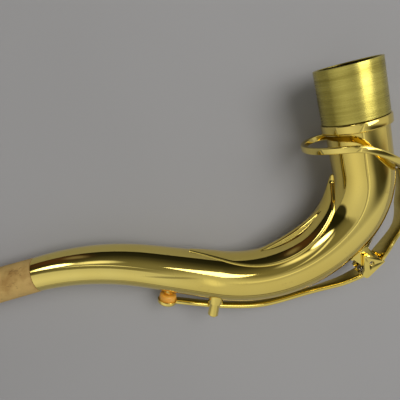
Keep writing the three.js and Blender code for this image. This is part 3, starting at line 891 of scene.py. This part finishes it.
class NECK_OT_tenon(bpy.types.Operator):
    """Spins the bare tenon sleeve and the ferrule below it."""
    bl_idname = "neck.tenon"
    bl_label = "Tenon and ferrule"

    def execute(self, context):
        size = tube_sizes()
        outer = size.tenon_diameter / 2
        inner = outer - 0.8 * MM
        low = GAP - size.tenon_length
        edge = 0.22 * MM
        sleeve = spun("tenon_sleeve_turned", (
            (inner, low), (outer, low), (outer, -edge), (outer - edge, 0.0),
            (inner + edge, 0.0), (inner, -edge), (inner, low)), 128)
        smooth(sleeve)
        place(sleeve)
        finish_piece(sleeve, "tenon_sleeve", turned_raw_brass())

        outer = size.ferrule_diameter / 2
        inner = size.lower_diameter / 2 + GAP
        top = -size.tenon_length
        low = top - size.ferrule_length
        curl = 0.55 * MM
        quarter = [(curl * (1 - math.cos(a)), curl * (1 - math.sin(a)))
                   for a in (0.0, math.pi / 8, math.pi / 4, 3 * math.pi / 8, math.pi / 2)]
        profile = [(inner, low)]
        profile += [(outer - x, low + y) for x, y in reversed(quarter)]
        profile += [(outer - x, top - y) for x, y in quarter]
        profile += [(inner, top), (inner, low)]
        ferrule = spun("ferrule_collar", profile, 128)
        smooth(ferrule)
        place(ferrule)
        finish_piece(ferrule, "tenon_ferrule", lacquered_brass())
        return {"FINISHED"}


class NECK_OT_cork(bpy.types.Operator):
    """Spins the cork sleeve, which widens a little towards the tip."""
    bl_idname = "neck.cork"
    bl_label = "Cork"

    def execute(self, context):
        size = tube_sizes()
        inner = size.spigot_diameter / 2 - 0.05 * MM
        first = size.upper_diameter / 2
        last = first + 0.35 * MM
        edge = 0.5 * MM
        count = 24
        profile = [(inner, GAP)]
        for i in range(count + 1):
            share = i / count
            profile.append((first + (last - first) * share,
                            GAP + (size.cork_length - edge - GAP) * share))
        profile += [(last - edge, size.cork_length), (inner, size.cork_length), (inner, GAP)]
        cork = spun("cork_sleeve", profile, 96)
        smooth(cork)
        point, heading = centre_at(shoulder_station())
        turn = Matrix((outward(heading), along(heading), (0, 0, -1))).transposed().to_4x4()
        place(cork, Matrix.Translation(point) @ turn)
        finish_piece(cork, "mouthpiece_cork", sanded_cork())
        return {"FINISHED"}


class NECK_OT_brace(bpy.types.Operator):
    """Curls a leaf-shaped sheet round the inside of the bend and raises its keel and rib."""
    bl_idname = "neck.brace"
    bl_label = "Brace"

    def execute(self, context):
        deselect()
        bpy.ops.mesh.primitive_grid_add(x_subdivisions=230, y_subdivisions=100, size=2.0,
                                        location=CENTRE)
        brace = name_piece("bend_brace")
        for vertex in brace.data.vertices:
            vertex.co = brace_point(vertex.co.x, vertex.co.y)
        edit()
        select_all()
        bpy.ops.mesh.normals_make_consistent(inside=False)
        leave_edit()
        add_wall(brace, 0.3 * MM, -1.0, even=False)
        apply_modifiers(brace)
        edit()
        close_skin()
        leave_edit()
        smooth(brace, 50.0)
        place(brace)
        finish_piece(brace, "neck_brace", lacquered_brass())
        return {"FINISHED"}


class NECK_OT_fittings(bpy.types.Operator):
    """Rounds the octave pip, the guide post and the hinge's saddle, and solders their feet."""
    bl_idname = "neck.fittings"
    bl_label = "Pip, post and saddle"

    def execute(self, context):
        size = key_sizes()
        for node, name, station in (
                ("octave_pip", "vent_pip", size.pad_station),
                ("guide_post", "arm_guide_post", size.post_station),
                ("hinge_saddle", "saddle_with_ears", size.hinge_station)):
            piece = merged_copy(node, name)
            sink_foot(piece, station)
            add_bevel(piece, 0.2 * MM)
            apply_modifiers(piece)
            smooth(piece)
            finish_piece(piece, node, lacquered_brass())
        return {"FINISHED"}


class NECK_OT_ring(bpy.types.Operator):
    """Bends the key's ring out of a round band."""
    bl_idname = "neck.ring"
    bl_label = "Key ring"

    def execute(self, context):
        size = key_sizes()
        top = -tube_sizes().tenon_length - size.ring_drop
        deselect()
        bpy.ops.mesh.primitive_circle_add(
            vertices=144, radius=size.ring_radius, location=CENTRE,
            rotation=(math.pi / 2, 0, 0))
        bpy.ops.object.transform_apply(location=True, rotation=True, scale=True)
        ring = name_piece("round_key_ring")
        edit()
        bpy.ops.transform.translate(value=(size.ring_offset, -size.ring_width / 2, 0))
        for _ in range(2):
            bpy.ops.mesh.extrude_region_move(
                TRANSFORM_OT_translate={"value": (0, size.ring_width / 2, 0)})
        close_skin()
        leave_edit()
        add_wall(ring, size.ring_thickness, 0.0)
        add_bevel(ring, 0.55 * MM, 4, 50.0)
        apply_modifiers(ring)
        for vertex in ring.data.vertices:
            x, wide = vertex.co.x, vertex.co.y
            bend = (x - size.ring_fold) / size.ring_softness
            fall = size.ring_fall * size.ring_softness * math.log1p(math.exp(bend))
            slope = size.ring_fall / (1 + math.exp(-bend))
            across = Vector((slope, 1, 0)).normalized()
            vertex.co.x = x + wide * across.x
            vertex.co.y = top - fall + wide * across.y
        smooth(ring)
        place(ring)
        finish_piece(ring, "key_ring", lacquered_brass())
        return {"FINISHED"}


class NECK_OT_key(bpy.types.Operator):
    """Rounds the strap, the arm and the yoke between them, and brazes their ends."""
    bl_idname = "neck.key"
    bl_label = "Strap, yoke and arm"

    def execute(self, context):
        # Each end: its middle, the way that it faces, and its reach into the solder, in mm.
        ends = {
            "key_strap": (((1.15, -86.85, 0), (-0.7, -0.7, 0), 0.8),
                          ((15.6, -49.8, 0), (0, 1, 0), 0.8)),
            "key_arm": (((-8.75, -93.5, 0), (0.97, 0.24, 0), 1.0),
                        ((-94.4, -84.75, 0), (-0.92, 0.38, 0), 0.8)),
            "hinge_yoke": (),
        }
        for node, name in (("key_strap", "key_strap_plate"), ("key_arm", "key_arm_bar"),
                           ("hinge_yoke", "hinge_yoke_block")):
            piece = merged_copy(node, name)
            for end, way, reach in ends[node]:
                pull_end(piece, Vector(end) * MM, Vector(way), reach * MM)
            add_bevel(piece, 0.25 * MM)
            apply_modifiers(piece)
            smooth(piece)
            finish_piece(piece, node, lacquered_brass())
        return {"FINISHED"}


class NECK_OT_pad(bpy.types.Operator):
    """Spins the pad cup and the pad that closes the octave pip."""
    bl_idname = "neck.pad"
    bl_label = "Pad and cup"

    def execute(self, context):
        size = key_sizes()
        low = size.pad_height
        rim = low + 2.8 * MM
        outer = size.pad_diameter / 2 + 0.65 * MM
        inner = outer - 0.5 * MM
        cup = spun("pad_cup_turned", [
            (0.0, rim + 1.9 * MM), (inner, rim + 1.9 * MM), (inner, rim + 0.1 * MM),
            (inner + 0.1 * MM, rim), (outer - 0.15 * MM, rim), (outer, rim + 0.15 * MM),
            (outer, rim + 1.2 * MM), (outer - 0.12 * MM, rim + 1.6 * MM),
            (outer - 0.5 * MM, rim + 2.0 * MM), (outer - 1.1 * MM, rim + 2.25 * MM),
            (outer - 2.0 * MM, rim + 2.37 * MM), (0.0, rim + 2.4 * MM)], 72)
        smooth(cup, 40.0)
        place(cup, spot_frame(size.pad_station))
        finish_piece(cup, "pad_cup", lacquered_brass())

        radius = size.pad_diameter / 2
        pad = spun("round_pad", [
            (0.0, low), (1.6 * MM, low), (2.4 * MM, low + 0.08 * MM),
            (radius - 0.8 * MM, low + 0.05 * MM), (radius - 0.35 * MM, low + 0.15 * MM),
            (radius - 0.1 * MM, low + 0.45 * MM), (radius, low + 1.0 * MM),
            (radius, low + 2.3 * MM), (radius - 0.05 * MM, low + 3.8 * MM),
            (radius - 0.4 * MM, low + 4.2 * MM), (0.0, low + 4.2 * MM)], 72)
        smooth(pad, 40.0)
        place(pad, spot_frame(size.pad_station))
        finish_piece(pad, "octave_pad", pad_skin())
        return {"FINISHED"}


class NECK_OT_spring(bpy.types.Operator):
    """Rounds the flat spring and the screws."""
    bl_idname = "neck.spring"
    bl_label = "Spring and screws"

    def execute(self, context):
        for node, name in (("flat_spring", "flat_spring_strip"), ("spring_screw", "small_screw"),
                           ("hinge_screw", "hinge_rod")):
            piece = merged_copy(node, name)
            add_bevel(piece, 0.08 * MM)
            apply_modifiers(piece)
            smooth(piece)
            finish_piece(piece, node, bright_steel())
        return {"FINISHED"}


# Stage.

def studio_floor():
    deselect()
    bpy.ops.mesh.primitive_plane_add(size=3.0, location=(0, 0, -0.02 * MM))
    floor = name_piece("studio_floor")
    material, tree, shader, vector = new_material("pale floor")
    base = tuple(colours().floor)
    warm = tuple(c * 1.06 for c in base)
    tree.links.new(ramp(tree, noise(tree, vector, 6.0, 2.0), ((0.3, base), (0.7, warm))),
                   shader.inputs["Base Color"])
    shader.inputs["Roughness"].default_value = 0.95
    floor.data.materials.append(material)


def area_light(name, location, target, size, energy, colour=(1, 1, 1)):
    data = bpy.data.lights.new(name, "AREA")
    data.shape = "RECTANGLE"
    data.size, data.size_y = size
    data.energy = energy
    data.color = colour
    light = bpy.data.objects.new(name, data)
    bpy.context.scene.collection.objects.link(light)
    light.location = location
    aim = Vector(target) - Vector(location)
    light.rotation_euler = aim.to_track_quat("-Z", "Y").to_euler()
    return light


def sky_aim(azimuth, elevation):
    turn, rise = math.radians(azimuth), math.radians(elevation)
    return Vector((math.cos(turn) * math.cos(rise), math.sin(turn) * math.cos(rise),
                   math.sin(rise)))


def sky_patch(tree, direction, azimuth, elevation, width, height, tilt, soft):
    """A mask of a soft-edged oval patch of the studio, in degrees, seen from the object."""
    aim = sky_aim(azimuth, elevation)
    side = Vector((-math.sin(math.radians(azimuth)), math.cos(math.radians(azimuth)), 0.0))
    side.rotate(Quaternion(aim, math.radians(tilt)))
    parts = []
    for axis, reach in ((side, width), (aim.cross(side), height)):
        dot = tree.nodes.new("ShaderNodeVectorMath")
        dot.operation = "DOT_PRODUCT"
        dot.inputs[1].default_value = axis / math.sin(math.radians(reach / 2))
        tree.links.new(direction, dot.inputs[0])
        parts.append(math_node(tree, "POWER", math_node(
            tree, "ABSOLUTE", dot.outputs["Value"], 0.0), 2.0))
    away = math_node(tree, "SQRT", math_node(tree, "ADD", *parts), 0.0)
    inside = spread(tree, away, 1 + soft, 1 - soft)
    inside.node.interpolation_type = "SMOOTHSTEP"
    front = tree.nodes.new("ShaderNodeVectorMath")
    front.operation = "DOT_PRODUCT"
    front.inputs[1].default_value = aim
    tree.links.new(direction, front.inputs[0])
    return math_node(tree, "MULTIPLY", inside,
                     math_node(tree, "GREATER_THAN", front.outputs["Value"], 0.0))


def sky_side(tree, direction, azimuth, elevation, soft):
    """A mask of the half of the studio that faces a direction, in degrees."""
    facing = tree.nodes.new("ShaderNodeVectorMath")
    facing.operation = "DOT_PRODUCT"
    facing.inputs[1].default_value = sky_aim(azimuth, elevation)
    tree.links.new(direction, facing.inputs[0])
    side = spread(tree, facing.outputs["Value"], -soft, soft)
    side.node.interpolation_type = "SMOOTHSTEP"
    return side


def studio_world():
    """A pale room with dark screens and bright panels, for the brass to reflect."""
    world = bpy.data.worlds.new("studio")
    world.use_nodes = True
    bpy.context.scene.world = world
    tree = world.node_tree
    background = tree.nodes["Background"]
    direction = tree.nodes.new("ShaderNodeTexCoord").outputs["Generated"]
    split = tree.nodes.new("ShaderNodeSeparateXYZ")
    tree.links.new(direction, split.inputs["Vector"])
    shade = ramp(tree, split.outputs["Z"], (
        (0.0, (0.50, 0.49, 0.47)), (0.3, (0.57, 0.56, 0.53)), (0.8, (0.62, 0.61, 0.59)),
        (1.0, (0.60, 0.59, 0.57))))
    screen = math_node(tree, "MULTIPLY", sky_side(tree, direction, 50.0, 15.0, 0.05),
                       sky_side(tree, direction, 143.0, 0.0, 0.10))
    gloom = ramp(tree, split.outputs["Z"], (
        (0.0, (0.012, 0.012, 0.010)), (0.4, (0.022, 0.022, 0.018)), (0.65, (0.07, 0.066, 0.05)),
        (0.95, (0.20, 0.19, 0.15))))
    shade = mix_colour(tree, screen, shade, gloom)
    # Azimuth, elevation, width, height, tilt, softness, share and colour of each.
    patches = (
        (-153.0, 38.0, 46.0, 34.0, 0.0, 0.9, 1.0, (0.78, 0.77, 0.75)),
        (147.0, 20.0, 26.0, 52.0, 0.0, 0.2, 0.97, (0.015, 0.015, 0.012)),
        (112.0, 14.0, 24.0, 34.0, 0.0, 0.6, 1.0, (0.07, 0.035, 0.025)),
        (-27.0, 30.0, 8.0, 44.0, 25.0, 0.5, 0.8, (0.20, 0.12, 0.03)),
        (-37.0, 43.0, 17.0, 60.0, 25.0, 0.5, 0.92, (0.03, 0.03, 0.02)),
        (-116.0, 65.0, 2.5, 30.0, -10.0, 0.5, 0.6, (0.1, 0.1, 0.08)),
        (-101.0, 67.0, 2.4, 30.0, -10.0, 0.5, 1.0, (0.95, 0.94, 0.9)),
        (-95.0, 5.0, 70.0, 6.0, 0.0, 0.6, 0.7, (0.03, 0.025, 0.02)),
        (129.0, 45.0, 11.0, 15.0, 0.0, 0.35, 1.0, (6.0, 5.9, 5.7)),
        (114.0, 57.0, 15.0, 13.0, 0.0, 0.7, 1.0, (1.2, 1.18, 1.14)),
        (141.0, 70.0, 3.0, 24.0, 0.0, 0.6, 1.0, (1.1, 1.08, 1.05)),
        (105.0, 19.0, 8.0, 16.0, 0.0, 0.7, 1.0, (0.20, 0.17, 0.15)),
    )
    for azimuth, elevation, width, height, tilt, soft, share, colour in patches:
        mask = sky_patch(tree, direction, azimuth, elevation, width, height, tilt, soft)
        shade = mix_colour(tree, math_node(tree, "MULTIPLY", mask, share), shade, colour)
    tree.links.new(shade, background.inputs["Color"])
    path = tree.nodes.new("ShaderNodeLightPath")
    seen = math_node(tree, "MAXIMUM", path.outputs["Is Camera Ray"],
                     path.outputs["Is Glossy Ray"])
    seen = math_node(tree, "MAXIMUM", seen, path.outputs["Is Transmission Ray"])
    tree.links.new(spread(tree, seen, 0.0, 1.0, 0.57, 1.0), background.inputs["Strength"])


def photo_camera():
    data = bpy.data.cameras.new("camera")
    data.sensor_width = 36.0
    data.sensor_height = 36.0
    data.sensor_fit = "HORIZONTAL"
    data.lens = 36.0
    data.clip_start = 0.01
    camera = bpy.data.objects.new("camera", data)
    bpy.context.scene.collection.objects.link(camera)
    turn = PLANE.to_3x3()
    # Solved from the outlines of the tenon and the tube, in the neck's plane.
    right = turn @ Vector((0.967, -0.252, 0.031))
    top = turn @ Vector((0.251, 0.929, -0.271))
    back = right.cross(top).normalized()
    right = top.cross(back).normalized()
    top = back.cross(right)
    place_at = PLANE @ Vector((-65.0 * MM, 7.3 * MM, 168.6 * MM))
    camera.matrix_world = Matrix.Translation(place_at) @ Matrix(
        (right, top, back)).transposed().to_4x4()
    bpy.context.scene.camera = camera


class NECK_OT_stage(bpy.types.Operator):
    """Sets the floor, the lights and the camera."""
    bl_idname = "neck.stage"
    bl_label = "Studio"

    def execute(self, context):
        photo_camera()
        studio_floor()
        studio_world()
        area_light("window", (0.58, 0.15, 1.07), (0.05, 0.0, 0.0), (0.84, 0.78), 8.2,
                   (1.0, 0.98, 0.95))
        context.scene.view_settings.view_transform = "Standard"
        return {"FINISHED"}


OPERATORS = (
    NECK_OT_stage, NECK_OT_tube, NECK_OT_tenon, NECK_OT_cork, NECK_OT_brace, NECK_OT_fittings,
    NECK_OT_ring, NECK_OT_key, NECK_OT_pad, NECK_OT_spring,
)


class NECK_PT_panel(bpy.types.Panel):
    """Lists the neck's sizes, colours and pieces."""
    bl_idname = "NECK_PT_panel"
    bl_label = "Saxophone Neck"
    bl_space_type = "VIEW_3D"
    bl_region_type = "UI"
    bl_category = "Neck"

    def draw(self, context):
        scene = context.scene
        for group in (scene.neck_tube_sizes, scene.neck_brace_sizes, scene.neck_key_sizes,
                      scene.neck_colours):
            column = self.layout.column(align=True)
            for name in group.__annotations__:
                column.prop(group, name)
        for operator in OPERATORS:
            self.layout.operator(operator.bl_idname)


GROUPS = (TubeSizes, BraceSizes, KeySizes, FinishColours)


def register():
    for item in (*GROUPS, *OPERATORS, NECK_PT_panel):
        bpy.utils.register_class(item)
    bpy.types.Scene.neck_tube_sizes = bpy.props.PointerProperty(type=TubeSizes)
    bpy.types.Scene.neck_brace_sizes = bpy.props.PointerProperty(type=BraceSizes)
    bpy.types.Scene.neck_key_sizes = bpy.props.PointerProperty(type=KeySizes)
    bpy.types.Scene.neck_colours = bpy.props.PointerProperty(type=FinishColours)


def unregister():
    del bpy.types.Scene.neck_tube_sizes
    del bpy.types.Scene.neck_brace_sizes
    del bpy.types.Scene.neck_key_sizes
    del bpy.types.Scene.neck_colours
    for item in reversed((*GROUPS, *OPERATORS, NECK_PT_panel)):
        bpy.utils.unregister_class(item)


def main():
    register()
    bpy.ops.neck.stage()
    bpy.ops.neck.tube()
    bpy.ops.neck.tenon()
    bpy.ops.neck.cork()
    bpy.ops.neck.brace()
    bpy.ops.neck.fittings()
    bpy.ops.neck.ring()
    bpy.ops.neck.key()
    bpy.ops.neck.pad()
    bpy.ops.neck.spring()
    deselect()


if __name__ == "__main__":
    main()
